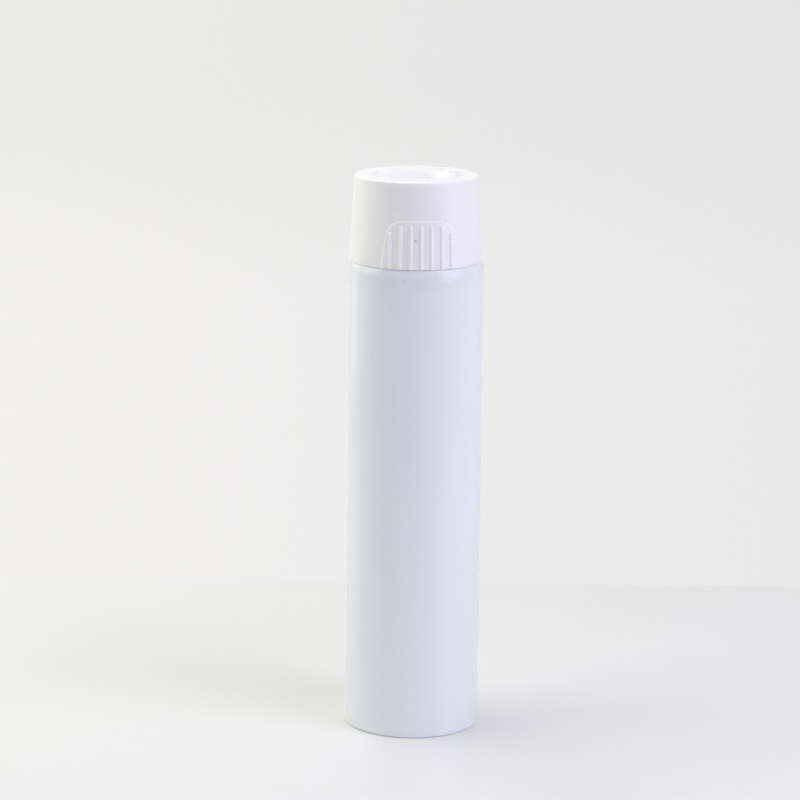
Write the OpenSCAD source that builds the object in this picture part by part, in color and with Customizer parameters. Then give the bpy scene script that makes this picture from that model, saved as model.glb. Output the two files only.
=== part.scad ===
// A laminate tube as it leaves the tube maker: empty, still open at its filling end, standing on
// that end, and closed at the top by a conical squeeze-and-turn cap.
// The origin is the centre of the open end on the surface it stands on. +Z runs up the tube's axis.
// The cap's front grip pad faces -Y and the sleeve's side seam is at the back, at +Y.

/* [Sleeve] */
// Outside diameter of the laminate sleeve
sleeve_d = 35; // [32:0.5:50]
// Straight length from the open end to where the sleeve's end is drawn in
sleeve_len = 119.4; // [60:0.1:180]
// Thickness of the laminate web
web_t = 0.35; // [0.25:0.05:0.5]
// Height of the drawn-in end, from the straight sleeve to its crest
draw_h = 3.1; // [2.4:0.1:4]
// Radius of the shallow curve that draws the end in
draw_r = 9; // [6:0.5:14]
// Outside radius of the corner where the web turns in over the shoulder
corner_r = 0.5; // [0.4:0.05:0.8]
// Width of the flat rim of web inside the corner
rim_w = 2.5; // [2:0.1:3]
// Width of the overlap at the side seam
seam_w = 1.8; // [1:0.1:3]
// Height of the pressed overlap above the web, on each face
seam_t = 0.08; // [0.04:0.01:0.15]
// How much thinner the web is pressed where it is welded to the shoulder
weld_thin = 0.1; // [0.08:0.01:0.14]
// Length over which the pressed web runs out below the shoulder's skirt
weld_run = 1; // [0.6:0.1:2]

/* [Shoulder] */
// Thickness of the moulded shoulder plate under the web
plate_t = 1.2; // [0.8:0.1:1.6]
// Length of the moulded skirt inside the straight sleeve
skirt_len = 1; // [0.8:0.1:3]
// Thickness of the moulded skirt at its lower edge
skirt_t = 0.7; // [0.5:0.1:1]
// Rise of the shoulder plate from the rim of web to the neck
plate_rise = 0.6; // [0.2:0.1:0.8]
// Height of the nozzle's end above the crest of the corner
neck_h = 10; // [8:0.5:12]
// Diameter over the neck's thread
thread_d = 14.8; // [13:0.1:16]
// Depth of the neck's thread
thread_depth = 0.8; // [0.5:0.1:1]
// Wall of the neck under its thread
neck_wall = 1.3; // [1:0.1:1.6]
// Diameter of the orifice in the nozzle's end
orifice_d = 5; // [3:0.5:7]
// Thickness of the nozzle's end wall
orifice_t = 1.4; // [1:0.1:2]
// Size of the chamfer round the nozzle's end
nozzle_chamfer = 0.4; // [0.2:0.1:0.5]
// Height of the two stops above the crest
stop_h = 2.4; // [1.5:0.1:3]
// Radial depth of a stop at its blunt end
stop_depth = 2.2; // [1.6:0.1:2.6]
// Radial depth of a stop at the low end of its ramp
stop_thin = 0.6; // [0.5:0.1:1]
// Angle that a stop's ramp covers
stop_angle = 26; // [16:1:34]
// Distance from the web's cut edge to the stops
stop_inset = 0.3; // [0.2:0.1:0.6]

/* [Cap] */
// Height of the cap from its foot to its top
cap_h = 21.65; // [20:0.05:26]
// How far the cap's foot stands inside the sleeve's outside
cap_inset = 0.5; // [0.5:0.1:0.8]
// Draft of the cap's side
cap_taper = 3.5; // [2:0.1:4]
// Wall of the cap's skirt
cap_wall = 1.3; // [1:0.1:1.6]
// Thickness of the cap's top
cap_top_t = 1.4; // [1.1:0.1:1.8]
// Rounding of the cap's upper edge
cap_edge_r = 0.3; // [0.2:0.05:1]
// Gap between the cap's foot and the crest of the corner
foot_gap = 0.15; // [0.1:0.05:0.6]
// Diameter of the dish in the cap's top
dish_d = 16.2; // [14:0.1:17]
// Depth of the dish
dish_depth = 2.6; // [1.5:0.1:3.4]
// Slope of the dish's wall
dish_slope = 58; // [45:1:75]
// Rounding at the foot of the dish's wall
dish_floor_r = 1; // [0.4:0.1:1.5]
// Rounding of the dish's lip
dish_lip_r = 0.3; // [0.2:0.05:0.6]
// Wall of the threaded collar at its foot
collar_wall = 1.2; // [1:0.1:1.5]
// Draft of the collar's outside
collar_draft = 1; // [0.5:0.5:2]
// Outside diameter of the ring that presses the liner onto the nozzle
seal_d = 9.6; // [8.4:0.2:11]
// Wall of that ring
seal_wall = 1.2; // [1:0.1:1.5]
// Clearance between the collar's bore and the neck's thread
thread_clear = 0.25; // [0.15:0.05:0.35]
// Distance from the cap's foot up to the collar's foot
collar_lift = 1.2; // [0.8:0.1:2]
// Width of each lug inside the skirt
lug_w = 2; // [1.4:0.1:3]
// Height of each lug
lug_h = 6; // [3:0.5:9]
// Clearance between the lugs and the stops, as with the pads pressed
lug_clear = 0.3; // [0.2:0.05:0.4]

/* [Grip pads] */
// Height of a grip pad above the cap's foot
pad_h = 12.1; // [10:0.1:14]
// Half the pad's width at the cap's foot
pad_half_w = 10; // [9.4:0.1:10.8]
// Angle at which the pad's sides lean in
pad_lean = 9.5; // [6:0.5:14]
// Rounding of the pad's upper corners
pad_corner_r = 4.4; // [2:0.1:5]
// How far the pad stands out from the cap's side
pad_t = 0.18; // [0.1:0.02:0.2]
// Number of ribs on a pad
rib_count = 7; // [5:2:7]
// Angle from one rib to the next
rib_pitch = 9.1; // [8:0.1:9.6]
// Half the width of a rib
rib_r = 0.5; // [0.3:0.02:0.6]
// How far a rib stands out from the pad
rib_out = 0.3; // [0.2:0.02:0.3]
// Height of the middle ribs above the cap's foot
rib_h = 10.9; // [9:0.1:11.4]
// How much shorter the two outer ribs are
rib_drop = 1.7; // [1:0.1:2.5]

/* [Liner] */
// Thickness of the liner
liner_t = 1; // [0.6:0.1:1.5]
// Clearance between the liner and the collar's bore
liner_clear = 0.1; // [0.05:0.01:0.1]

/* [Hidden] */
$fn = 96;
// Clearance that keeps the shoulder's rim and the web it is welded to apart as solids
weld_clear = 0.03;
// Depth to which raised features are sunk in the wall that carries them
root = 0.25;
// Length by which cutting bodies run past what they cut
over = 1;
// Number of straight steps in each arc of a pad's outline and of the sleeve's drawn-in end
arc_steps = 8;
sleeve_r = sleeve_d / 2;
bore_r = sleeve_r - web_t;
weld_t = web_t - weld_thin;
weld_r = sleeve_r - weld_t;
skirt_z = sleeve_len - skirt_len;
weld_z = skirt_z - weld_run;
crest_z = sleeve_len + draw_h;
draw_x = sleeve_r - draw_r;
draw_angle = asin((draw_h - corner_r) / (draw_r - corner_r));
corner_x = draw_x + (draw_r - corner_r) * cos(draw_angle);
corner_z = crest_z - corner_r;
rim_r = corner_x - rim_w;
seam_angle = seam_w / sleeve_r * 180 / PI;
plate_top_r = rim_r - weld_clear;
plate_under_z = crest_z - weld_t - plate_t;
thread_r = thread_d / 2;
neck_r = thread_r - thread_depth;
neck_bore_r = neck_r - neck_wall;
neck_foot_z = crest_z + plate_rise;
nozzle_z = crest_z + neck_h;
stop_r = plate_top_r - stop_inset;
foot_z = crest_z + foot_gap;
top_z = foot_z + cap_h;
foot_r = sleeve_r - cap_inset;
top_r = foot_r - cap_h * tan(cap_taper);
collar_bore_r = thread_r + thread_clear;
collar_r = collar_bore_r + collar_wall;
collar_foot_z = foot_z + collar_lift;
under_z = top_z - cap_top_t;
collar_root_r = collar_r + (under_z - foot_z) * tan(collar_draft);
seal_r = seal_d / 2;
liner_r = collar_bore_r - liner_clear;
liner_z = nozzle_z + liner_t;
dish_z = top_z - dish_depth;
dish_r = dish_d / 2;
dish_floor_radius = dish_r - dish_depth / tan(dish_slope);
ceiling_z = dish_z - cap_top_t;
lug_r = stop_r + lug_clear;

// Radius of the cap's side at a height above its foot.
function cap_r(h) = foot_r - h * tan(cap_taper);

// Distance from a corner to the point where an arc of radius r touches its sides.
function tangent(r, corner_angle) = r / tan(corner_angle / 2);

// Point at a radius and an angle.
function polar(r, a) = [r * cos(a), r * sin(a)];

// Points along an arc of radius r about [x, y], from angle a to angle b, or from a later point on.
function arc(x, y, r, a, b, first = 0) = [
    for (i = [first : arc_steps])
        [x, y] + polar(r, a + (b - a) * i / arc_steps)
];

// The points of a list in the opposite order.
function reversed(points) = [for (i = [len(points) - 1 : -1 : 0]) points[i]];

// Outline of the sleeve's drawn-in end at a depth under its outside: the curve, then the corner.
function drawn_end(depth) = concat(
    arc(draw_x, sleeve_len, draw_r - depth, 0, draw_angle),
    arc(corner_x, corner_z, corner_r - depth, draw_angle, 90, first = 1)
);

// A band between two radii, as a section.
module band(r0, r1, z0, z1) {
    translate([r0, z0])
        square([r1 - r0, z1 - z0]);
}

// A band over part of the circle, centred on the back at +Y.
module back_arc(r0, r1, z0, z1, angle) {
    rotate([0, 0, 90 - angle / 2])
        rotate_extrude(angle = angle)
            band(r0, r1, z0, z1);
}

// The web: a straight wall that thins into the weld, the drawn-in end, the corner and the flat rim.
module sleeve() {
    color([0.88, 0.90, 0.93]) {
        rotate_extrude()
            polygon(concat(
                [[bore_r, 0], [sleeve_r, 0]],
                drawn_end(0),
                [[rim_r, crest_z], [rim_r, crest_z - weld_t]],
                reversed(drawn_end(weld_t)),
                [[weld_r, skirt_z], [bore_r, weld_z]]
            ));
        back_arc(sleeve_r - web_t / 2, sleeve_r + seam_t, 0, sleeve_len, seam_angle);
        back_arc(bore_r - seam_t, bore_r + web_t / 2, 0, weld_z - seam_w, seam_angle);
    }
}

// Outside of the moulded head as a section: skirt, drawn-in end, plate, neck and nozzle.
module head_section() {
    difference() {
        union() {
            polygon(concat(
                [[0, skirt_z], [weld_r - weld_clear, skirt_z]],
                [for (point = drawn_end(weld_t)) point - [weld_clear, 0]],
                [[0, crest_z - weld_t]]
            ));
            polygon([
                [0, crest_z - weld_t - plate_t / 2],
                [plate_top_r, crest_z - weld_t - plate_t / 2],
                [plate_top_r, crest_z],
                [neck_r, neck_foot_z],
                [0, neck_foot_z]
            ]);
            polygon([
                [0, crest_z],
                [neck_r, crest_z],
                [neck_r, nozzle_z - nozzle_chamfer],
                [neck_r - nozzle_chamfer, nozzle_z],
                [0, nozzle_z]
            ]);
        }
        head_hollow();
    }
}

// Inside of the moulded head: the funnel under the plate, the neck's bore and the orifice.
module head_hollow() {
    skirt_in_r = weld_r - weld_clear - skirt_t;
    funnel_r = corner_x - weld_clear - over;
    polygon([
        [0, skirt_z - over],
        [skirt_in_r, skirt_z - over],
        [skirt_in_r, skirt_z],
        [funnel_r, plate_under_z],
        [neck_bore_r, plate_under_z + plate_rise],
        [neck_bore_r, nozzle_z - orifice_t],
        [0, nozzle_z - orifice_t]
    ]);
    band(0, orifice_d / 2, nozzle_z - orifice_t - over, nozzle_z + over);
}

// One stop in plan: a blunt face at angle 0 and a ramp that falls away as the angle grows.
module stop_plan() {
    steps = 6;
    inner_r = stop_r - stop_depth;
    fall = stop_depth - stop_thin;
    ramp = [for (i = [0 : steps]) polar(stop_r - fall * i / steps, stop_angle * i / steps)];
    back = [for (i = [steps : -1 : 0]) polar(inner_r, stop_angle * i / steps)];
    polygon(concat(ramp, back));
}

// The moulded head, with its two stops a quarter turn away from the grip pads.
module shoulder() {
    color([0.93, 0.94, 0.94]) {
        rotate_extrude()
            head_section();
        for (side = [0, 180])
            rotate([0, 0, side])
                translate([0, 0, crest_z - root])
                    linear_extrude(height = stop_h + root)
                        stop_plan();
    }
}

// Outside of the cap as a section, with its upper edge rounded.
module cap_outline() {
    edge_angle = 90 + cap_taper;
    back_off = tangent(cap_edge_r, edge_angle);
    edge_x = top_r - back_off;
    edge_z = top_z - cap_edge_r;
    side_x = top_r + back_off * sin(cap_taper);
    side_z = top_z - back_off * cos(cap_taper);
    polygon([
        [0, foot_z],
        [foot_r, foot_z],
        [side_x, side_z],
        [edge_x, edge_z],
        [edge_x, top_z],
        [0, top_z]
    ]);
    translate([edge_x, edge_z])
        circle(cap_edge_r);
}

// Inside of the cap, open at its foot: round the collar, in its bore, and both sides of the ring.
module cap_hollow() {
    polygon([
        [collar_r, foot_z - over],
        [cap_r(-over) - cap_wall, foot_z - over],
        [cap_r(under_z - foot_z) - cap_wall, under_z],
        [collar_root_r, under_z]
    ]);
    band(0, collar_r + root, foot_z - over, collar_foot_z);
    band(0, collar_bore_r, foot_z - over, liner_z);
    band(seal_r, collar_bore_r, liner_z - root, ceiling_z);
    band(0, seal_r - seal_wall, liner_z - root, ceiling_z);
}

// The dish in the cap's top: a sloping wall that rounds into a flat floor.
module cap_dish() {
    floor_off = tangent(dish_floor_r, 180 - dish_slope);
    arc_x = dish_floor_radius - floor_off;
    polygon([
        [0, dish_z],
        [arc_x, dish_z],
        [arc_x, dish_z + dish_floor_r],
        [dish_floor_radius + floor_off * cos(dish_slope), dish_z + floor_off * sin(dish_slope)],
        [dish_r, top_z],
        [dish_r, top_z + over],
        [0, top_z + over]
    ]);
    translate([arc_x, dish_z + dish_floor_r])
        circle(dish_floor_r);
    dish_lip();
}

// What the rounding takes off the dish's lip.
module dish_lip() {
    lip_off = tangent(dish_lip_r, 180 - dish_slope);
    wall_x = dish_r - lip_off * cos(dish_slope);
    difference() {
        polygon([
            [wall_x, top_z - lip_off * sin(dish_slope)],
            [dish_r + lip_off, top_z],
            [dish_r + lip_off, top_z + over],
            [wall_x, top_z + over]
        ]);
        translate([dish_r + lip_off, top_z - dish_lip_r])
            circle(dish_lip_r);
    }
}

// Outline of a grip pad seen from the front: wider at the foot, with rounded upper corners.
module pad_outline() {
    top_half_w = pad_half_w - pad_h * tan(pad_lean);
    arc_x = top_half_w - tangent(pad_corner_r, 90 + pad_lean);
    arc_z = pad_h - pad_corner_r;
    polygon(concat(
        [[-pad_half_w, 0], [pad_half_w, 0]],
        arc(arc_x, arc_z, pad_corner_r, pad_lean, 90),
        arc(-arc_x, arc_z, pad_corner_r, 90, 180 - pad_lean)
    ));
}

// A thin cone outside the skirt, from which raised features are cut.
module cone_skin(out, sunk, h) {
    rotate_extrude()
        polygon([
            [foot_r - sunk, foot_z],
            [foot_r + out, foot_z],
            [cap_r(h) + out, foot_z + h],
            [cap_r(h) - sunk, foot_z + h]
        ]);
}

// What stands out from the cap's front within an outline that is drawn as seen from the front.
module raised(out, sunk, h) {
    intersection() {
        cone_skin(out, sunk, h + over);
        translate([0, 0, foot_z])
            rotate([90, 0, 0])
                linear_extrude(height = sleeve_r)
                    children();
    }
}

// One rib on the front: it has a round upper end and runs out at the cap's foot.
module rib(h) {
    raised(pad_t + rib_out, root / 2, h) {
        translate([-rib_r, 0])
            square([2 * rib_r, h - rib_r]);
        translate([0, h - rib_r])
            circle(rib_r);
    }
}

// The front grip pad with its row of ribs, the two outer ribs shorter than the others.
module grip_pad() {
    half = (rib_count - 1) / 2;
    raised(pad_t, root, pad_h)
        pad_outline();
    for (i = [-half : half])
        rotate([0, 0, i * rib_pitch])
            rib(abs(i) == half ? rib_h - rib_drop : rib_h);
}

// A lug inside the skirt, a quarter turn from the pads: it meets a stop unless the pads are pressed.
module lug() {
    intersection() {
        rotate_extrude()
            polygon([
                [lug_r, foot_z],
                [cap_r(0) - cap_wall + root, foot_z],
                [cap_r(lug_h) - cap_wall + root, foot_z + lug_h],
                [lug_r + over, foot_z + lug_h],
                [lug_r, foot_z + lug_h - over]
            ]);
        translate([0, -lug_w - root, foot_z])
            cube([sleeve_r, lug_w, lug_h]);
    }
}

// The moulded cap: conical skirt, top with its dish, collar and ring, two grip pads and two lugs.
module cap() {
    color([0.94, 0.94, 0.93]) {
        rotate_extrude()
            difference() {
                cap_outline();
                cap_hollow();
                cap_dish();
            }
        for (side = [0, 180])
            rotate([0, 0, side]) {
                grip_pad();
                lug();
            }
    }
}

// The liner: a soft disc between the nozzle's end and the cap's sealing ring.
module cap_liner() {
    color([0.96, 0.96, 0.95])
        translate([0, 0, nozzle_z])
            cylinder(r = liner_r, h = liner_t);
}

sleeve();
shoulder();
cap();
cap_liner();
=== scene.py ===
# %% [markdown]
# A laminate tube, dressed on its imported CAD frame. The real object is the empty tube that a tube
# maker delivers: a laminate sleeve that is still open at its filling end, a moulded head inside its
# top, and a conical squeeze-and-turn cap. It stands on the open end. This file makes the visible
# surfaces finer than the solids can hold them, gives each its material, and sets the camera and the
# studio light. Every shape is a grid of points worked out by a formula, because all the pieces are
# turned or moulded forms that follow a profile.

import bpy
import numpy as np
from mathutils import Matrix


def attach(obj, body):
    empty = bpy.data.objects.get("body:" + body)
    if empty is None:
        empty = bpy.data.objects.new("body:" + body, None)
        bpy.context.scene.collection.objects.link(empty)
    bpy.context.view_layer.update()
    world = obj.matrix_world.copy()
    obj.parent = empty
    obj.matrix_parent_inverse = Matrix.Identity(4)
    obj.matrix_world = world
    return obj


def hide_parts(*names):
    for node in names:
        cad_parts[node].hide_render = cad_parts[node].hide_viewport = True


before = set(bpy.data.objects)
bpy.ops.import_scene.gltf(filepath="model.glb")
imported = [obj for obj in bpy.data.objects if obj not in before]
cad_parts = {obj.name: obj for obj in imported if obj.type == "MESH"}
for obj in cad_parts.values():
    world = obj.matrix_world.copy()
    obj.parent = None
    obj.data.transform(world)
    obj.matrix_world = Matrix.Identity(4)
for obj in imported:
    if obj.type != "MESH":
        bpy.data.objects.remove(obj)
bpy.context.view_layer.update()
MM = 0.001

# %% [markdown]
# The camera comes first. It stands where the photographer's did: about 0.8 m from the tube, a little
# above it and looking down, with a long lens. The front grip pad is turned a few degrees to the
# right of the camera, so the camera is turned about the tube by as much the other way.

# %% Camera at the photograph's viewing angle
IMAGE_PX = 800
focal_px = 3069.6
sensor_mm = 36.0
eye = np.array([-3.655, -772.658, 256.351])
pitch, roll, turn = np.radians([12.461, -0.554, -4.4])


def about_z(angle):
    """Matrix that turns about Z: x goes to x cos - y sin, and y to x sin + y cos."""
    c, s = np.cos(angle), np.sin(angle)
    return np.array([[c, -s, 0], [s, c, 0], [0, 0, 1]])


def facing(x_axis, y_axis, z_axis, place):
    """World matrix with the three axes as columns and the place in millimetres."""
    m = np.eye(4)
    m[:3, :3] = np.column_stack([x_axis, y_axis, z_axis])
    m[:3, 3] = np.asarray(place) * MM
    return Matrix(m.tolist())


level_up = np.array([0, np.sin(pitch), np.cos(pitch)])
level_right = np.array([1, 0, 0])
backward = np.array([0, -np.cos(pitch), np.sin(pitch)])
right = level_right * np.cos(roll) - level_up * np.sin(roll)
up = level_right * np.sin(roll) + level_up * np.cos(roll)
spin = about_z(turn)

lens = bpy.data.cameras.new("camera")
lens.sensor_width = sensor_mm
lens.lens = focal_px / IMAGE_PX * sensor_mm
lens.clip_start = 0.01
lens.clip_end = 20.0
camera = bpy.data.objects.new("camera", lens)
camera.matrix_world = facing(spin @ right, spin @ up, spin @ backward, spin @ eye)
bpy.context.scene.collection.objects.link(camera)
bpy.context.scene.camera = camera
bpy.context.scene.view_settings.view_transform = "Standard"
print("lens", round(lens.lens, 2), "mm, eye", (spin @ eye).round(1), "mm")

# %% [markdown]
# All the pieces start as an outline in the plane of radius and height. A moulded or folded edge is
# never quite sharp, so each corner of an outline is given a small fillet. The outline is drawn as
# straight runs and tangent arcs, the way a mould maker dimensions it.

# %% Outlines with fillets


def rounded(corners, closed=True, arc_points=7, hold=0.07):
    """Outline through corners (r, z, fillet), each corner rounded by its own fillet.

    With u and v the directions to the two neighbours and h half the angle between them, the arc
    touches the sides fillet / tan(h) from the corner, about a centre fillet / sin(h) along their
    bisector. A point is held just outside each end of an arc, so that flat runs stay flat in shading.
    """
    c = np.array(corners, float)
    p, fillet = c[:, :2], c[:, 2:3]
    to_last = np.roll(p, 1, 0) - p
    to_next = np.roll(p, -1, 0) - p
    run_last = np.linalg.norm(to_last, axis=1, keepdims=True)
    run_next = np.linalg.norm(to_next, axis=1, keepdims=True)
    u, v = to_last / run_last, to_next / run_next
    half = np.arccos(np.clip((u * v).sum(1, keepdims=True), -1, 1)) / 2
    touch = fillet / np.tan(half)
    bisector = (u + v) / np.maximum(np.linalg.norm(u + v, axis=1, keepdims=True), 1e-9)
    centre = p + bisector * fillet / np.sin(half)
    a, b = p + u * touch - centre, p + v * touch - centre
    start = np.arctan2(a[:, 1:], a[:, :1])
    sweep = (np.arctan2(b[:, 1:], b[:, :1]) - start + np.pi) % (2 * np.pi) - np.pi
    at = start + sweep * np.linspace(0, 1, arc_points)
    arc = centre[:, None] + fillet[:, None] * np.stack([np.cos(at), np.sin(at)], -1)
    before = arc[:, :1] + (u * np.minimum(hold, run_last / 4))[:, None]
    after = arc[:, -1:] + (v * np.minimum(hold, run_next / 4))[:, None]
    rows = np.concatenate([before, arc, after], 1)
    if not closed:
        rows = rows[1:-1]
    rows = rows.reshape(-1, 2)
    if not closed:
        rows = np.vstack([p[:1], rows, p[-1:]])
    new = np.linalg.norm(np.diff(rows, axis=0), axis=1) > 1e-5
    return rows[np.r_[True, new]]


def resampled(outline, step):
    """The outline with more points: each run is cut into equal parts no longer than step."""
    run = np.linalg.norm(np.diff(outline, axis=0), axis=1)
    parts = np.maximum(np.ceil(run / step).astype(int), 1)
    first = np.repeat(np.arange(len(run)), parts)
    share = (np.arange(parts.sum()) - np.repeat(np.cumsum(parts) - parts, parts)) / parts[first]
    inner = outline[first] + (outline[first + 1] - outline[first]) * share[:, None]
    return np.vstack([inner, outline[-1:]])


# %% [markdown]
# A grid of points becomes a mesh by joining each point to its neighbours. Three kinds are enough
# here: a closed ring for a hollow profile, a surface that ends in a pole on the axis, and a short bar
# with both ends closed. Whether the faces point outwards is read from the sign of the volume that
# they enclose, so no piece depends on the order in which its outline was drawn.

# %% Grids to meshes


def turned(outline, angles, grow=0.0):
    """Outline (r, z) turned about Z. The angle is counted from the front, -Y, towards +X:
    x = (r + grow) sin(angle), y = -(r + grow) cos(angle). grow may be a grid of rows by angles."""
    r = outline[:, :1] + grow
    z = np.broadcast_to(outline[:, 1:], (len(outline), len(angles)))
    return np.stack([r * np.sin(angles), -r * np.cos(angles), z], -1)


def tiled(points, closed=False, poles=(False, False)):
    """Points and faces of a grid whose columns close round the axis.

    Point (i, j) is joined to (i + 1, j + 1) in a four-sided face. With closed, the last row is
    joined to the first. A pole draws its end row together into one point, at the row's mean, and
    is joined to the row beside it by triangles.
    """
    rows, cols = points.shape[:2]
    flat = points.reshape(-1, 3)
    at = np.arange(rows * cols).reshape(rows, cols)
    here, there = (at, np.roll(at, -1, 0)) if closed else (at[:-1], at[1:])
    quads = np.stack([here, np.roll(here, -1, 1), np.roll(there, -1, 1), there], -1).reshape(-1, 4)
    faces = [quads]
    for end, wanted in zip((0, -1), poles):
        if wanted:
            ring = at[end]
            tip = np.full(cols, len(flat))
            flat = np.vstack([flat, points[end].mean(0)[None]])
            pair = (ring, np.roll(ring, -1)) if end == -1 else (np.roll(ring, -1), ring)
            faces.append(np.stack([pair[0], pair[1], tip], -1))
    volume = sum(enclosed(flat, f) for f in faces)
    if volume < 0:
        faces = [f[:, ::-1] for f in faces]
    return flat, faces, abs(volume)


def enclosed(points, faces):
    """Signed volume under some faces: the sum over their triangles of a . (b x c) / 6."""
    a, b, c = points[faces[:, 0]], points[faces[:, 1]], points[faces[:, 2]]
    total = (a * np.cross(b, c)).sum() / 6
    if faces.shape[1] == 4:
        d = points[faces[:, 3]]
        total += (a * np.cross(c, d)).sum() / 6
    return total


def make_piece(name, parts, crease=38):
    """One object from several closed grids. Edges bent by more than crease degrees are sharp."""
    starts = np.cumsum([0] + [len(p[0]) for p in parts])
    points = np.vstack([p[0] for p in parts])
    faces = [f + s for p, s in zip(parts, starts) for f in p[1]]
    corners = np.concatenate([f.ravel() for f in faces])
    sides = np.concatenate([np.full(len(f), f.shape[1]) for f in faces])
    mesh = bpy.data.meshes.new(name)
    mesh.vertices.add(len(points))
    mesh.vertices.foreach_set("co", (points * MM).ravel())
    mesh.loops.add(len(corners))
    mesh.loops.foreach_set("vertex_index", corners)
    mesh.polygons.add(len(sides))
    mesh.polygons.foreach_set("loop_start", np.cumsum(sides) - sides)
    mesh.polygons.foreach_set("use_smooth", np.ones(len(sides), bool))
    mesh.update(calc_edges=True)
    mesh.validate()
    mesh.set_sharp_from_angle(angle=np.radians(crease))
    piece = bpy.data.objects.new(name, mesh)
    bpy.context.scene.collection.objects.link(piece)
    triangles = int((sides - 2).sum())
    print(name, len(points), "points", triangles, "triangles", round(sum(p[2] for p in parts)), "mm3")
    return piece


def dress(piece, material, slot, body, *nodes):
    """Gives a piece its material and the body that it moves with, and hides the CAD nodes that it
    stands for.
    """
    piece.data.materials.append(material)
    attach(piece, body)
    if nodes:
        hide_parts(*nodes)


# %% [markdown]
# Materials are built from nodes. Every colour is written as a given sRGB value and
# turned to linear light by one function, and one function adds any node with its settings and links.

# %% Colour and node helpers


def linear(hex_colour):
    """sRGB to linear light: ((c + 0.055) / 1.055) ** 2.4 for each channel, c / 12.92 when dark."""
    c = np.array([int(hex_colour[i : i + 2], 16) for i in (1, 3, 5)]) / 255
    lin = np.where(c > 0.04045, ((c + 0.055) / 1.055) ** 2.4, c / 12.92)
    return (*lin.tolist(), 1.0)


def add(tree, kind, values=None, links=None, **settings):
    """One node: settings are its own properties, values its unlinked sockets, links its inputs."""
    node = tree.nodes.new(kind)
    for key, value in settings.items():
        setattr(node, key, value)
    for key, value in (values or {}).items():
        node.inputs[key].default_value = value
    for key, output in (links or {}).items():
        tree.links.new(output, node.inputs[key])
    return node


def new_material(name):
    """An empty node material, its output node and its Object coordinates in metres."""
    material = bpy.data.materials.new(name)
    material.use_nodes = True
    tree = material.node_tree
    tree.nodes.clear()
    out = add(tree, "ShaderNodeOutputMaterial")
    where = add(tree, "ShaderNodeTexCoord").outputs["Object"]
    return material, tree, out, where


# %% [markdown]
# The tube in the photograph isn't quite clean: three tiny grains of dust and a faint nick show on the
# cap, and one grain lies on the sleeve. They are drawn as dark spots at their places on the surface.
# A grain that is longer than wide is drawn as two spots that overlap.

# %% Dust grains
CAP_GRAINS = [
    (-5.9, -14.96, 137.62, 0.3, 0.12),
    (-1.5, -16.68, 129.9, 0.32, 0.5),
    (-1.25, -16.7, 129.72, 0.26, 0.4),
    (6.14, -15.1, 134.55, 0.34, 0.2),
    (-13.95, -7.35, 142.7, 0.4, 0.08),
]
SLEEVE_GRAINS = [(-4.1, -17.0, 119.9, 0.3, 0.14), (-4.2, -17.0, 119.5, 0.3, 0.12)]


def dusted(tree, clean, where, grains):
    """Colour with grains on it, each (x, y, z, radius) in mm and how dark it is, from 0 to 1.

    A grain has its full share within half its radius and none from its radius on, and where two
    overlap the larger share counts."""
    shares = []
    for x, y, z, radius, depth in grains:
        gap = add(
            tree,
            "ShaderNodeVectorMath",
            {1: (x * MM, y * MM, z * MM)},
            {0: where},
            operation="DISTANCE",
        )
        share = add(
            tree,
            "ShaderNodeMapRange",
            {"From Min": radius * MM / 2, "From Max": radius * MM, "To Min": depth, "To Max": 0.0},
            {"Value": gap.outputs["Value"]},
        )
        shares.append(share.outputs["Result"])
    dark = shares[0]
    for share in shares[1:]:
        larger = add(tree, "ShaderNodeMath", links={0: dark, 1: share}, operation="MAXIMUM")
        dark = larger.outputs["Value"]
    mixed = add(
        tree,
        "ShaderNodeMix",
        {"B": linear("#3E3A38")},
        {"Factor": dark, "A": clean},
        data_type="RGBA",
    )
    return mixed.outputs["Result"]


print(len(CAP_GRAINS) + len(SLEEVE_GRAINS), "grains")

# %% [markdown]
# The sleeve is a laminate web: white polyethylene film outside, a barrier layer, and polyethylene
# inside, 0.35 mm in all. The film is calendered smooth, so it is glossier than the cap, and it is a
# shade cooler. Film on a tube is never optically flat: it carries a faint drawn waviness along the
# tube, 6 to 20 mm long, that makes the edges of reflections waver. A white web also scatters a
# little light under its surface. Its inside is the same film.

# %% Laminate film material
film, tree, out, where = new_material("laminate_film_calendered")
drawn = add(tree, "ShaderNodeMapping", {"Scale": (1.0, 1.0, 0.3)}, {"Vector": where})
wave = add(
    tree,
    "ShaderNodeTexNoise",
    {"Scale": 1 / 0.006, "Detail": 2.0, "Roughness": 0.4},
    {"Vector": drawn.outputs["Vector"]},
)
cloud = add(tree, "ShaderNodeTexNoise", {"Scale": 1 / 0.03, "Detail": 3.0}, {"Vector": where})
film_tone = add(
    tree,
    "ShaderNodeMix",
    {"A": linear("#F0F2F4"), "B": linear("#F4F6F8")},
    {"Factor": cloud.outputs["Fac"]},
    data_type="RGBA",
)
film_gloss = add(
    tree,
    "ShaderNodeMapRange",
    {"To Min": 0.1, "To Max": 0.14},
    {"Value": cloud.outputs["Fac"]},
)
film_relief = add(
    tree,
    "ShaderNodeBump",
    {"Strength": 1.0, "Distance": 0.00003},
    {"Height": wave.outputs["Fac"]},
)
film_shader = add(
    tree,
    "ShaderNodeBsdfPrincipled",
    {
        "IOR": 1.5,
        "Subsurface Weight": 0.4,
        "Subsurface Radius": (1.0, 0.95, 0.9),
        "Subsurface Scale": 0.0012,
    },
    {
        "Base Color": dusted(tree, film_tone.outputs["Result"], where, SLEEVE_GRAINS),
        "Roughness": film_gloss.outputs["Result"],
        "Normal": film_relief.outputs["Normal"],
    },
)
tree.links.new(film_shader.outputs["BSDF"], out.inputs["Surface"])
print("film tone", [round(v, 3) for v in linear("#F0F2F4")[:3]])

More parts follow.
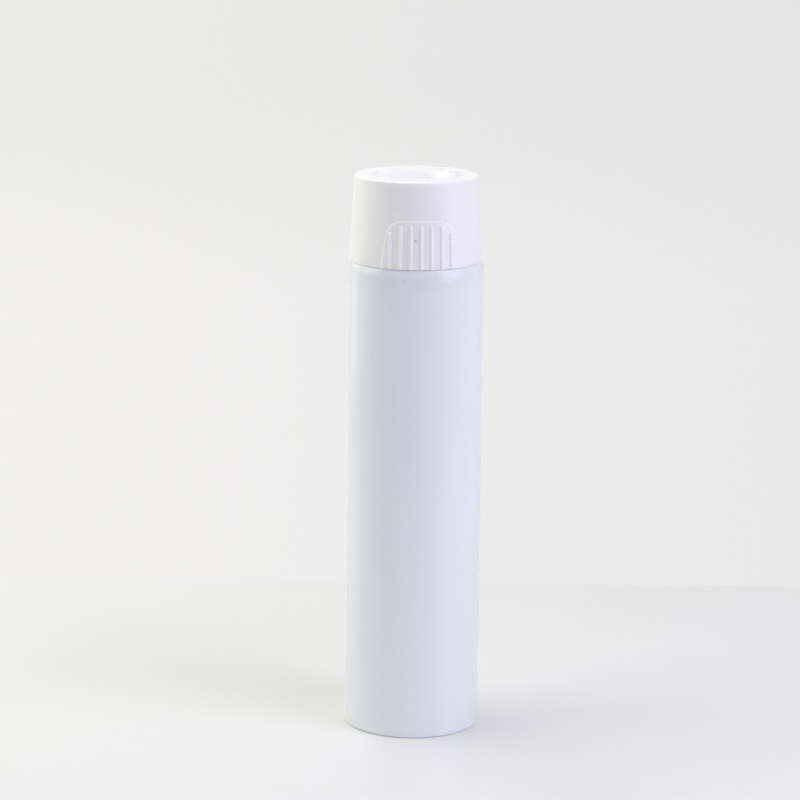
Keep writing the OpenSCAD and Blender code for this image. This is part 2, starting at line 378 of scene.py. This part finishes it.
# %% [markdown]
# The cap is polypropylene, injection moulded in a spark-eroded cavity. That leaves a fine satin
# grain, about 0.2 mm, that spreads reflections without hiding them. White polypropylene lets a little
# light into its surface, so a small share of subsurface scattering softens the ribs. The grain is
# drawn at 0.35 mm, because a finer one falls between the pixels.

# %% Cap material
satin, tree, out, where = new_material("polypropylene_moulded_satin")
grain = add(
    tree,
    "ShaderNodeTexNoise",
    {"Scale": 1 / 0.00035, "Detail": 2.0, "Roughness": 0.6},
    {"Vector": where},
)
shade = add(tree, "ShaderNodeTexNoise", {"Scale": 1 / 0.012, "Detail": 2.0}, {"Vector": where})
satin_tone = add(
    tree,
    "ShaderNodeMix",
    {"A": linear("#EEEDEA"), "B": linear("#F2F1EE")},
    {"Factor": shade.outputs["Fac"]},
    data_type="RGBA",
)
satin_gloss = add(
    tree,
    "ShaderNodeMapRange",
    {"To Min": 0.38, "To Max": 0.46},
    {"Value": shade.outputs["Fac"]},
)
satin_relief = add(
    tree,
    "ShaderNodeBump",
    {"Strength": 1.0, "Distance": 0.000006},
    {"Height": grain.outputs["Fac"]},
)
satin_shader = add(
    tree,
    "ShaderNodeBsdfPrincipled",
    {
        "IOR": 1.49,
        "Subsurface Weight": 0.3,
        "Subsurface Radius": (1.0, 0.9, 0.8),
        "Subsurface Scale": 0.0012,
    },
    {
        "Base Color": dusted(tree, satin_tone.outputs["Result"], where, CAP_GRAINS),
        "Roughness": satin_gloss.outputs["Result"],
        "Normal": satin_relief.outputs["Normal"],
    },
)
tree.links.new(satin_shader.outputs["BSDF"], out.inputs["Surface"])
print("cap tone", [round(v, 3) for v in linear("#EEEDEA")[:3]])

# %% [markdown]
# The head is polyethylene, moulded straight onto the sleeve, waxier and a little greyer than the
# cap. The liner is foamed polyethylene, cut from sheet: matt, with fine closed cells. Neither shows
# while the tube is closed.

# %% Head and liner materials
waxy, tree, out, where = new_material("polyethylene_moulded_head")
flow = add(tree, "ShaderNodeTexNoise", {"Scale": 1 / 0.004, "Detail": 3.0}, {"Vector": where})
waxy_tone = add(
    tree,
    "ShaderNodeMix",
    {"A": linear("#E6E8E8"), "B": linear("#ECEDED")},
    {"Factor": flow.outputs["Fac"]},
    data_type="RGBA",
)
waxy_relief = add(
    tree,
    "ShaderNodeBump",
    {"Strength": 1.0, "Distance": 0.00001},
    {"Height": flow.outputs["Fac"]},
)
waxy_shader = add(
    tree,
    "ShaderNodeBsdfPrincipled",
    {
        "IOR": 1.51,
        "Roughness": 0.36,
        "Subsurface Weight": 0.12,
        "Subsurface Radius": (1.0, 0.95, 0.9),
        "Subsurface Scale": 0.0015,
    },
    {"Base Color": waxy_tone.outputs["Result"], "Normal": waxy_relief.outputs["Normal"]},
)
tree.links.new(waxy_shader.outputs["BSDF"], out.inputs["Surface"])

foam, tree, out, where = new_material("polyethylene_foam_sheet")
cells = add(tree, "ShaderNodeTexVoronoi", {"Scale": 1 / 0.0003}, {"Vector": where})
foam_tone = add(
    tree,
    "ShaderNodeMix",
    {"A": linear("#EDEDEA"), "B": linear("#F3F3F1")},
    {"Factor": cells.outputs["Distance"]},
    data_type="RGBA",
)
foam_relief = add(
    tree,
    "ShaderNodeBump",
    {"Strength": 1.0, "Distance": 0.00002},
    {"Height": cells.outputs["Distance"]},
)
foam_shader = add(
    tree,
    "ShaderNodeBsdfPrincipled",
    {"IOR": 1.5, "Roughness": 0.8},
    {"Base Color": foam_tone.outputs["Result"], "Normal": foam_relief.outputs["Normal"]},
)
tree.links.new(foam_shader.outputs["BSDF"], out.inputs["Surface"])
print("materials:", [m.name for m in (film, satin, waxy, foam)])

# %% [markdown]
# The sleeve is a strip of web rolled to a tube and lapped at a side seam, which is pressed between
# hot jaws and stands only 0.08 mm proud over its width. Its upper end is drawn in over the head: a
# shallow curve, a small corner, a flat rim and the web's cut edge. One closed outline of the web,
# turned about the axis, gives all of that and the wall's thickness. The lap is a smooth bump in the
# radius at the back. The knife leaves the open end slanting: the tube rests on the inner edge, and the
# outer edge is 0.3 mm higher, which is the thin dark line between the tube and the sheet.

# %% Sleeve
SLEEVE_R, BORE_R, WELD_R = 17.5, 17.15, 17.25
SLEEVE_LEN, CREST_Z, SKIRT_Z, WELD_RUN = 119.4, 122.5, 118.4, 1.0
DRAW_R, CORNER_R, RIM_R, LAP_W, LAP_T = 9.0, 0.5, 14.09, 1.8, 0.08
CUT_RISE, CUT_FLAT = 0.3, 0.02
CURVE_SHARE, CORNER_SHARE = 0.92, 0.8
WELD_T = SLEEVE_R - WELD_R
WEB_UNDER_Z = CREST_Z - WELD_T
LAP_TOP_Z = SKIRT_Z - WELD_RUN - LAP_W
DRAW_ANGLE = np.arcsin((CREST_Z - SLEEVE_LEN - CORNER_R) / (DRAW_R - CORNER_R))


def drawn_end(depth, inset=0.0):
    """The two corners (r, z, fillet) of the drawn-in end at a depth under its outside.

    The curve leaves the wall at SLEEVE_LEN and turns by a = DRAW_ANGLE, so its sides meet
    radius * tan(a / 2) above that. Its end slopes by a and meets the rim in the second corner. Both
    fillets take only a share of their full radius, which leaves a short straight run between them.
    """
    curve = DRAW_R - depth
    end_r = SLEEVE_R - DRAW_R + curve * np.cos(DRAW_ANGLE)
    end_z = SLEEVE_LEN + curve * np.sin(DRAW_ANGLE)
    rim_z = CREST_Z - depth
    rim_r = end_r - (rim_z - end_z) * np.tan(DRAW_ANGLE)
    return [
        (SLEEVE_R - depth - inset, SLEEVE_LEN + curve * np.tan(DRAW_ANGLE / 2), CURVE_SHARE * curve),
        (rim_r - inset, rim_z, CORNER_SHARE * (CORNER_R - depth)),
    ]


web = rounded(
    [
        (SLEEVE_R, CUT_RISE, 0.04),
        *drawn_end(0),
        (RIM_R, CREST_Z, 0.06),
        (RIM_R, WEB_UNDER_Z, 0.04),
        *reversed(drawn_end(WELD_T)),
        (WELD_R, SKIRT_Z, 0.4),
        (BORE_R, SKIRT_Z - WELD_RUN, 0.4),
        (BORE_R, 0, 0.01),
        (BORE_R + CUT_FLAT, 0, 0.01),
    ],
    arc_points=9,
)
web = resampled(web, 3.0)
even = np.arange(0, 360, 1.5)
lap_half = np.degrees(LAP_W / 2 / SLEEVE_R)
near_lap = 180 + np.linspace(-1.6, 1.6, 40) * lap_half
around = np.radians(np.unique(np.r_[even[abs(even - 180) > 1.6 * lap_half], near_lap]))


def step_down(distance, width):
    """1 inside, 0 outside, and 3t^2 - 2t^3 between, where t runs over width about distance 0."""
    t = np.clip(0.5 - distance / width, 0, 1)
    return t * t * (3 - 2 * t)


from_seam = abs(np.degrees(around) - 180) - lap_half
lap = step_down(from_seam, 0.35 * lap_half)[None]
outer_wall = (web[:, :1] > SLEEVE_R - 1e-3) * (web[:, 1:] < SLEEVE_LEN + 0.1)
inner_wall = (web[:, :1] < BORE_R + 1e-3) * step_down(web[:, 1:] - LAP_TOP_Z, 1.0)
sleeve = make_piece(
    "tube_sleeve",
    [tiled(turned(web, around, LAP_T * lap * (1.0 * outer_wall - inner_wall)), closed=True)],
)
dress(sleeve, film, "laminate", "tube", "sleeve")

# %% [markdown]
# The head is one moulding: a short skirt that the web is welded to, the shoulder plate, the neck with
# its screw thread, the nozzle with its orifice, and two ratchet-like stops. The body is again a
# turned outline. The thread is a rounded ridge carried along a right-handed helix, and it swells and
# fades over its ends as a moulded thread does. Under the cap the neck's ridge and the collar's ridge
# are half a turn apart, so that they pass each other while the cap is unscrewed.

# %% Head body, thread and stops
HEAD_CLEAR, PLATE_T, PLATE_RISE, SKIRT_T = 0.03, 1.2, 0.6, 0.7
NECK_R, NECK_BORE_R, THREAD_R = 6.6, 5.3, 7.4
NECK_FOOT_Z, NOZZLE_Z, ORIFICE_R, ORIFICE_T = 123.1, 132.5, 2.5, 1.4
THREAD_LEAD, THREAD_START = 3.0, 20
NECK_THREAD_Z = (125.4, 131.1)
NECK_RIDGE_W, NECK_RIDGE_TOP_W = 1.5, 0.7
FUNNEL_R = 15.56
PLATE_UNDER_Z = WEB_UNDER_Z - PLATE_T

head = rounded(
    [
        (ORIFICE_R, NOZZLE_Z, 0.15),
        (NECK_R, NOZZLE_Z, 0.45),
        (NECK_R, NECK_FOOT_Z, 0.5),
        (RIM_R - HEAD_CLEAR, CREST_Z, 0.05),
        (RIM_R - HEAD_CLEAR, WEB_UNDER_Z, 0.02),
        *reversed(drawn_end(WELD_T, HEAD_CLEAR)),
        (WELD_R - HEAD_CLEAR, SKIRT_Z, 0.1),
        (WELD_R - HEAD_CLEAR - SKIRT_T, SKIRT_Z, 0.1),
        (FUNNEL_R, PLATE_UNDER_Z, 0.3),
        (NECK_BORE_R, PLATE_UNDER_Z + PLATE_RISE, 0.6),
        (NECK_BORE_R, NOZZLE_Z - ORIFICE_T, 0.3),
        (ORIFICE_R, NOZZLE_Z - ORIFICE_T, 0.15),
    ]
)
round_180 = np.radians(np.arange(0, 360, 2.0))
head_parts = [tiled(turned(resampled(head, 1.0), round_180), closed=True)]


def thread(root_r, crest_r, root_w, crest_w, z0, z1, start):
    """Ridge on a right-handed helix of THREAD_LEAD: the angle grows by a full turn for each lead of
    height. Its section runs from root_r to crest_r, and its height is scaled by a smooth run-in at
    both ends. The section is closed under the wall that carries it."""
    side = np.sign(crest_r - root_r)
    section = rounded(
        [
            (root_r - side * 0.2, -root_w / 2, 0.02),
            (root_r, -root_w / 2, 0.02),
            (crest_r, -crest_w / 2, 0.15),
            (crest_r, crest_w / 2, 0.15),
            (root_r, root_w / 2, 0.02),
            (root_r - side * 0.2, root_w / 2, 0.02),
        ],
        arc_points=4,
    )
    turns = (z1 - z0) / THREAD_LEAD
    t = np.linspace(0, 1, int(turns * 90))
    angle = np.radians(start) + t * turns * 2 * np.pi
    run_in = np.clip(np.minimum(t, 1 - t) * turns * 8, 0, 1)
    swell = (0.02 + 0.98 * run_in * run_in * (3 - 2 * run_in))[:, None]
    r = section[:, 0] - root_r
    r = root_r + np.where(r * side > 0, r * swell, r)
    z = z0 + (z1 - z0) * t[:, None] + section[:, 1] * (0.35 + 0.65 * swell)
    return np.stack([r * np.sin(angle)[:, None], -r * np.cos(angle)[:, None], z], -1)


head_parts.append(
    tiled(
        thread(NECK_R, THREAD_R, NECK_RIDGE_W, NECK_RIDGE_TOP_W, *NECK_THREAD_Z, THREAD_START),
        poles=(True, True),
    )
)

STOP_R, STOP_DEPTH, STOP_THIN, STOP_H, STOP_DEG = 13.76, 2.2, 0.6, 2.4, 26
stop_section = rounded(
    [(0, -0.3, 0.02), (1, -0.3, 0.02), (1, STOP_H, 0.12), (0, STOP_H, 0.12)], arc_points=4
)
along = np.r_[0, 0.004, np.linspace(0.02, 0.98, 14), 0.996, 1]
for side in (0, 180):
    depth = (STOP_DEPTH - (STOP_DEPTH - STOP_THIN) * along)[:, None]
    shrink = 1 - 0.06 * ((along == 0) | (along == 1))[:, None]
    r = STOP_R - STOP_DEPTH + depth * stop_section[:, 0]
    z = CREST_Z + stop_section[:, 1] * shrink
    angle = np.radians(90 + side + STOP_DEG * along)[:, None]
    stop = np.stack([r * np.sin(angle), -r * np.cos(angle), z], -1)
    head_parts.append(tiled(stop, poles=(True, True)))

head_piece = make_piece("tube_head", head_parts)
dress(head_piece, waxy, "head_moulding", "tube", "shoulder")

# %% [markdown]
# The cap is a single moulding that draws straight out of its mould. Its outline runs from the bore's
# ceiling round the sealing ring, down the threaded collar, out to the skirt, up the drafted side, over
# the edge and down into the dish. The foot hangs 0.08 mm lower than the solid's, which leaves room
# for the collision shapes. The side carries two grip pads, low plateaus with a leaning outline,
# and on each pad seven ribs. Pads and ribs are added to the turned surface as a height over it, a
# function of the angle and the height above the cap's foot.

# %% Cap outline
FOOT_Z, TOP_Z, FOOT_R, TAPER = 122.65, 144.3, 17.0, np.radians(3.5)
CAP_WALL, CAP_TOP_T, CAP_EDGE_R, SEAT_Z = 1.3, 1.4, 0.3, 133.5
COLLAR_BORE_R, COLLAR_R, COLLAR_Z, COLLAR_DRAFT = 7.65, 8.85, 123.85, np.radians(1)
FOOT_SAG = 0.08
SEAL_R, SEAL_WALL = 4.8, 1.2
DISH_R, DISH_DEPTH, DISH_SLOPE = 8.1, 2.6, np.radians(58)
UNDER_Z, DISH_Z = TOP_Z - CAP_TOP_T, TOP_Z - DISH_DEPTH
CEILING_Z = DISH_Z - CAP_TOP_T
COLLAR_ROOT_R = COLLAR_R + (UNDER_Z - FOOT_Z) * np.tan(COLLAR_DRAFT)


def side_r(height):
    """Radius of the cap's side, drafted inwards with the height above its foot."""
    return FOOT_R - height * np.tan(TAPER)


cap_outline = rounded(
    [
        (0, CEILING_Z, 0),
        (SEAL_R - SEAL_WALL, CEILING_Z, 0.3),
        (SEAL_R - SEAL_WALL, SEAT_Z, 0.15),
        (SEAL_R, SEAT_Z, 0.15),
        (SEAL_R, CEILING_Z, 0.3),
        (COLLAR_BORE_R, CEILING_Z, 0.4),
        (COLLAR_BORE_R, COLLAR_Z, 0.2),
        (COLLAR_R, COLLAR_Z, 0.2),
        (COLLAR_ROOT_R, UNDER_Z, 0.4),
        (side_r(UNDER_Z - FOOT_Z) - CAP_WALL, UNDER_Z, 0.4),
        (FOOT_R - CAP_WALL, FOOT_Z - FOOT_SAG, 0.15),
        (FOOT_R, FOOT_Z - FOOT_SAG, 0.04),
        (side_r(TOP_Z - FOOT_Z), TOP_Z, CAP_EDGE_R),
        (DISH_R, TOP_Z, 0.3),
        (DISH_R - DISH_DEPTH / np.tan(DISH_SLOPE), DISH_Z, 1.0),
        (0, DISH_Z, 0),
    ],
    closed=False,
    arc_points=5,
)
cap_outline = resampled(cap_outline, 4.0)

# Rows close enough for the pad's upper edge and the ribs' round ends.
heights = np.r_[0.2:8.5:0.4, 8.5:13.0:0.12, 13.3:21.0:1.2]
on_side = (cap_outline[:, 0] > side_r(TOP_Z - FOOT_Z) - 0.01) & (cap_outline[:, 1] > FOOT_Z + 0.19)
on_side &= cap_outline[:, 1] < TOP_Z - 0.4
first = np.flatnonzero(on_side)[0]
last = np.flatnonzero(on_side)[-1]
side_rows = np.column_stack([side_r(heights), FOOT_Z + heights])
cap_outline = np.vstack([cap_outline[:first], side_rows, cap_outline[last + 1 :]])
print("cap outline", len(cap_outline), "rows")

# %% [markdown]
# The pad's outline is measured as a distance: negative inside, positive outside, zero on the line.
# For the leaning sides it is the distance to the line, and at the rounded corners the distance to the
# arc's centre less its radius. A smooth step across that distance gives the pad a small chamfer all
# round. A rib is the same idea: its height falls off with the distance from the rib's middle line,
# so the upper end comes out round by itself.

# %% Grip pads and ribs as a height over the cap's side
PAD_H, PAD_HALF_W, PAD_LEAN, PAD_CORNER_R, PAD_T = 12.1, 10.0, np.radians(9.5), 4.4, 0.18
RIB_COUNT, RIB_PITCH, RIB_R, RIB_OUT, RIB_H, RIB_DROP = 7, 9.1, 0.5, 0.3, 10.9, 1.7
PAD_CHAMFER = 0.3


def pad_distance(x, h):
    """Signed distance to the pad's outline: the larger of the distances to the top edge and to the
    leaning side, with the corner between them rounded by PAD_CORNER_R."""
    to_side = (abs(x) - (PAD_HALF_W - h * np.tan(PAD_LEAN))) * np.cos(PAD_LEAN)
    to_top = h - PAD_H
    # The two directions aren't square to each other: their cosine is sin(PAD_LEAN).
    a = np.maximum(to_side + PAD_CORNER_R, 0)
    b = np.maximum(to_top + PAD_CORNER_R, 0)
    bend = 2 * a * b * np.sin(PAD_LEAN)
    corner = np.sqrt(np.maximum(a * a + b * b - bend, 0)) / np.cos(PAD_LEAN)
    inside = np.minimum(np.maximum(to_side, to_top) + PAD_CORNER_R, 0)
    return np.where((a > 0) & (b > 0), corner, np.maximum(a, b)) + inside - PAD_CORNER_R


def rib_height(x, h, top):
    """Height of one rib: RIB_OUT times (1 - d^2 / RIB_R^2)^0.7, d the distance to the middle line
    that runs from the foot up to RIB_R below the rib's top."""
    d = np.hypot(x, np.maximum(h - (top - RIB_R), 0)) / RIB_R
    return RIB_OUT * np.clip(1 - d * d, 0, 1) ** 0.7


def grip(angles, h, r):
    """Pad and ribs about the front at angle 0. r sin(angle) is the distance seen from the front."""
    face = step_down(pad_distance(r * np.sin(angles), h), PAD_CHAMFER) * PAD_T
    half = (RIB_COUNT - 1) // 2
    for i in range(-half, half + 1):
        top = RIB_H - (RIB_DROP if abs(i) == half else 0)
        x = r * np.sin(angles - np.radians(i * RIB_PITCH))
        rib = rib_height(x, h, top)
        face = np.maximum(face, np.where((rib > 0) & (np.cos(angles) > 0), PAD_T + rib, 0.0))
    return face


fine = np.arange(-37, 37.01, 0.4)
wide = np.arange(39, 142, 2.0)
cap_angles = np.radians(np.r_[fine, wide, fine + 180, wide + 180])
folded = (cap_angles + np.pi / 2) % np.pi - np.pi / 2
out_side = np.zeros(len(cap_outline), bool)
out_side[first - 3 : first + len(heights)] = True
h_rows = (cap_outline[:, 1] - FOOT_Z)[:, None]
relief = grip(folded[None], np.maximum(h_rows, 0.0), cap_outline[:, :1])
on_rows = out_side[:, None] & (cap_outline[:, :1] > FOOT_R - 1.6)
relief = np.where(on_rows & (abs(folded) < np.radians(37)), relief, 0.0)
print("relief up to", relief.max().round(3), "mm")

# %% [markdown]
# Inside, the collar has the female thread, on the same helix as the neck's and half a lead above it,
# and the skirt has two lugs a quarter turn from the pads. On the real cap, squeezing the pads makes
# the skirt oval and lifts the lugs clear of the stops. They are closed bars sunk into the wall.

# %% Cap inside
COLLAR_THREAD_R, COLLAR_THREAD_Z = 6.9, (126.3, 132.0)
COLLAR_RIDGE_W, COLLAR_RIDGE_TOP_W = 1.4, 0.6
leads_above = (COLLAR_THREAD_Z[0] - NECK_THREAD_Z[0]) / THREAD_LEAD
collar_start = THREAD_START + 360 * (leads_above - 0.5)
cap_parts = [tiled(turned(cap_outline, cap_angles, relief), poles=(True, True))]
cap_parts.append(
    tiled(
        thread(
            COLLAR_BORE_R,
            COLLAR_THREAD_R,
            COLLAR_RIDGE_W,
            COLLAR_RIDGE_TOP_W,
            *COLLAR_THREAD_Z,
            collar_start,
        ),
        poles=(True, True),
    )
)

LUG_R, LUG_H, LUG_LIFT, LUG_SINK = 14.07, 6.0, 0.05, 0.25
lug_section = rounded(
    [
        (LUG_R, FOOT_Z + LUG_LIFT, 0.1),
        (FOOT_R - CAP_WALL + LUG_SINK, FOOT_Z + LUG_LIFT, 0.05),
        (side_r(LUG_H) - CAP_WALL + LUG_SINK, FOOT_Z + LUG_H, 0.05),
        (LUG_R + 1, FOOT_Z + LUG_H, 0.1),
        (LUG_R, FOOT_Z + LUG_H - 1, 0.2),
    ],
    arc_points=4,
)
lug_y = np.r_[-2.25, np.linspace(-2.15, -0.35, 5), -0.25][:, None]
for side in (0, np.pi):
    x = np.sqrt(lug_section[:, 0] ** 2 - lug_y**2)
    z = np.broadcast_to(lug_section[:, 1], x.shape)
    lug = np.stack([x, np.broadcast_to(lug_y, x.shape), z], -1) @ about_z(side).T
    cap_parts.append(tiled(lug, poles=(True, True)))

# %% [markdown]
# The flat top carries a ring of small raised marks round the dish, in four groups. Here they are
# plain dashes, set across the ring and along it by turns. A mould maker engraves such marks about
# 0.1 mm deep with a round cutter, so each one is a low rounded bar with round ends, sunk into the top.

# %% Raised dashes and the whole cap
MARK_OUT, MARK_HALF_W, MARK_ROOT = 0.11, 0.24, 0.1
bow = np.linspace(0, np.pi, 7)
mark_section = np.column_stack([MARK_HALF_W * np.cos(bow), MARK_OUT * np.sin(bow)])
mark_section = np.vstack([mark_section, [[-MARK_HALF_W, -MARK_ROOT], [MARK_HALF_W, -MARK_ROOT]]])


def dash(middle, direction, length):
    """Raised bar: the section is carried along a straight line and is narrowed towards both ends by
    the square root of 1 - u^2, where u grows from 0 to 1 over the last half width."""
    t = np.r_[0, 0.04, 0.14, 0.32, 0.6, 1] * MARK_HALF_W
    t = np.r_[t, length - t[::-1]] - length / 2
    u = np.clip((abs(t) - length / 2 + MARK_HALF_W) / MARK_HALF_W, 0, 0.998)
    narrow = np.sqrt(1 - u * u)[:, None]
    along = np.array([np.cos(direction), np.sin(direction)])
    side = np.array([-along[1], along[0]])
    flat = middle + t[:, None, None] * along + (narrow * mark_section[:, 0])[..., None] * side
    z = TOP_Z + mark_section[:, 1] * np.where(mark_section[:, 1] > 0, narrow, 1)
    return np.concatenate([flat, z[..., None]], -1)


marks = 0
for group, ring_r, reach, step in (
    (0, 10.4, 42, 9.0),
    (90, 10.6, 33, 9.5),
    (180, 10.4, 42, 9.0),
    (270, 10.6, 33, 9.5),
):
    for i, place in enumerate(np.arange(-reach, reach + 0.1, step)):
        at = np.radians(group + place)
        out = np.array([np.sin(at), -np.cos(at)])
        heading = np.arctan2(out[1], out[0]) + (np.pi / 2 if i % 3 == 1 else 0)
        cap_parts.append(
            tiled(dash(out * ring_r, heading, 1.2 if i % 3 == 1 else 1.9), poles=(True, True))
        )
        marks += 1
print(marks, "raised dashes")

cap = make_piece("screw_cap", cap_parts)
dress(cap, satin, "cap_moulding", "closure", "cap")

# %% [markdown]
# The liner is a punched disc of foamed sheet. The cap's sealing ring presses it onto the nozzle.

# %% Liner
liner_outline = rounded(
    [(0, NOZZLE_Z, 0), (7.55, NOZZLE_Z, 0.12), (7.55, SEAT_Z, 0.12), (0, SEAT_Z, 0)], closed=False
)
liner_grid = turned(resampled(liner_outline, 1.5), round_180)
liner = make_piece("liner_disc", [tiled(liner_grid, poles=(True, True))])
dress(liner, foam, "liner_foam", "liner", "cap_liner")

# %% [markdown]
# The tube stands on a pale sheet of acrylic. It is plain, a little glossy, and it keeps the tube's
# shadow and a faint mirror image of its foot. Behind its edge there is a pale backdrop with painted
# light and shade.

# %% Floor
floor_material, tree, out, where = new_material("acrylic_sheet_pale")
haze = add(tree, "ShaderNodeTexNoise", {"Scale": 1 / 0.04, "Detail": 3.0}, {"Vector": where})
floor_tone = add(
    tree,
    "ShaderNodeMix",
    {"A": linear("#E5E4DF"), "B": linear("#E8E7E2")},
    {"Factor": haze.outputs["Fac"]},
    data_type="RGBA",
)
floor_shader = add(
    tree,
    "ShaderNodeBsdfPrincipled",
    {"IOR": 1.45, "Roughness": 0.12},
    {"Base Color": floor_tone.outputs["Result"]},
)
tree.links.new(floor_shader.outputs["BSDF"], out.inputs["Surface"])

FLOOR_HALF, FLOOR_FRONT, FLOOR_BACK = 350.0, -150.0, 129.0
floor_corners = np.array(
    [
        [-FLOOR_HALF, FLOOR_FRONT, 0],
        [FLOOR_HALF, FLOOR_FRONT, 0],
        [FLOOR_HALF, FLOOR_BACK, 0],
        [-FLOOR_HALF, FLOOR_BACK, 0],
    ]
)
floor_mesh = bpy.data.meshes.new("floor")
floor_mesh.from_pydata((floor_corners @ spin.T * MM).tolist(), [], [(0, 1, 2, 3)])
floor_mesh.materials.append(floor_material)
floor = bpy.data.objects.new("floor", floor_mesh)
bpy.context.scene.collection.objects.link(floor)

# %% [markdown]
# Light: soft boxes on the left, the right and above, and a weak one in front, in an even pale room.
# The room fills the shadows, and the side towards the camera stays the darkest. A box is set by how
# bright its own face looks, where 1 is white, so that its power follows from its size.

# %% Lights and room
AIM = np.array([0.0, 0.0, 80.0])


def softbox(name, bearing, height, distance, size, glow, tint):
    """Area light aimed at AIM. bearing is counted from the camera's side towards the right, height
    above the level, both in degrees. Its power in watts is glow times pi times its area in m2."""
    b, e = np.radians(bearing) + turn, np.radians(height)
    towards = np.array([np.sin(b) * np.cos(e), -np.cos(b) * np.cos(e), np.sin(e)])
    across = np.cross([0, 0, 1.0], towards)
    across /= np.linalg.norm(across)
    lamp = bpy.data.lights.new(name, "AREA")
    lamp.shape = "RECTANGLE"
    lamp.size, lamp.size_y = size[0] * MM, size[1] * MM
    lamp.energy = glow * np.pi * lamp.size * lamp.size_y
    lamp.color = tint
    lamp_object = bpy.data.objects.new(name, lamp)
    lamp_object.matrix_world = facing(
        across, np.cross(towards, across), towards, AIM + towards * distance
    )
    bpy.context.scene.collection.objects.link(lamp_object)
    print(name, round(lamp.energy, 3), "W")


softbox("left_strip", -95, 15, 450, (180, 420), 0.46, (0.97, 1.09, 0.94))
softbox("left_rear_strip", -120, 15, 450, (180, 420), 0.82, (1.1, 0.99, 0.91))
softbox("left_high", -85, 26, 520, (420, 320), 1.71, (0.99, 1.03, 0.98))
softbox("left_rear_high", -145, 35, 500, (260, 260), 2.33, (0.95, 0.99, 1.07))
softbox("left_top", -90, 60, 600, (400, 400), 1.19, (1.04, 1.06, 0.91))
softbox("rear_top", 180, 72, 600, (520, 520), 0.66, (1.06, 1.03, 0.91))
softbox("front_fill", 0, 20, 560, (300, 420), 0.28, (0.85, 0.75, 1.4))
softbox("right_fill", 60, 18, 520, (300, 420), 2.26, (0.96, 0.92, 1.12))
softbox("right_high", 50, 45, 560, (430, 380), 1.71, (0.89, 0.9, 1.21))

room = bpy.data.worlds.new("room")
room.use_nodes = True
tree = room.node_tree
tree.nodes.clear()
# The backdrop that the camera and reflections see has painted light and shade: it is lighter to the
# left and lighter on the far table below its edge than on the wall above. The light that the room
# gives is even.
direction = add(tree, "ShaderNodeTexCoord").outputs["Generated"]
across = add(
    tree,
    "ShaderNodeVectorMath",
    {1: tuple(spin @ [1.0, 0.0, 0.0])},
    {0: direction},
    operation="DOT_PRODUCT",
)
height = add(tree, "ShaderNodeSeparateXYZ", links={"Vector": direction})
shade_to_right = add(
    tree,
    "ShaderNodeMapRange",
    {"From Min": -0.14, "From Max": 0.16},
    {"Value": across.outputs["Value"]},
)
to_top = add(
    tree,
    "ShaderNodeMapRange",
    {"From Min": -0.19, "From Max": -0.11},
    {"Value": height.outputs["Z"]},
    interpolation_type="SMOOTHSTEP",
)
lower = add(
    tree,
    "ShaderNodeMix",
    {"A": linear("#F2F1F0"), "B": linear("#E8E7E8")},
    {"Factor": shade_to_right.outputs["Result"]},
    data_type="RGBA",
)
upper = add(
    tree,
    "ShaderNodeMix",
    {"A": linear("#EBEBE9"), "B": linear("#E3E3E4")},
    {"Factor": shade_to_right.outputs["Result"]},
    data_type="RGBA",
)
backdrop = add(
    tree,
    "ShaderNodeMix",
    links={
        "Factor": to_top.outputs["Result"],
        "A": lower.outputs["Result"],
        "B": upper.outputs["Result"],
    },
    data_type="RGBA",
)
room_light = add(tree, "ShaderNodeBackground", {"Color": (0.97, 0.98, 1.05, 1.0), "Strength": 0.356})
room_seen = add(
    tree, "ShaderNodeBackground", {"Strength": 1.0}, {"Color": backdrop.outputs["Result"]}
)
ray = add(tree, "ShaderNodeLightPath")
looked_at = add(
    tree,
    "ShaderNodeMath",
    links={0: ray.outputs["Is Camera Ray"], 1: ray.outputs["Is Glossy Ray"]},
    operation="MAXIMUM",
)
choose = add(tree, "ShaderNodeMixShader", links={0: looked_at.outputs["Value"]})
tree.links.new(room_light.outputs["Background"], choose.inputs[1])
tree.links.new(room_seen.outputs["Background"], choose.inputs[2])
add(tree, "ShaderNodeOutputWorld", links={"Surface": choose.outputs["Shader"]})
bpy.context.scene.world = room
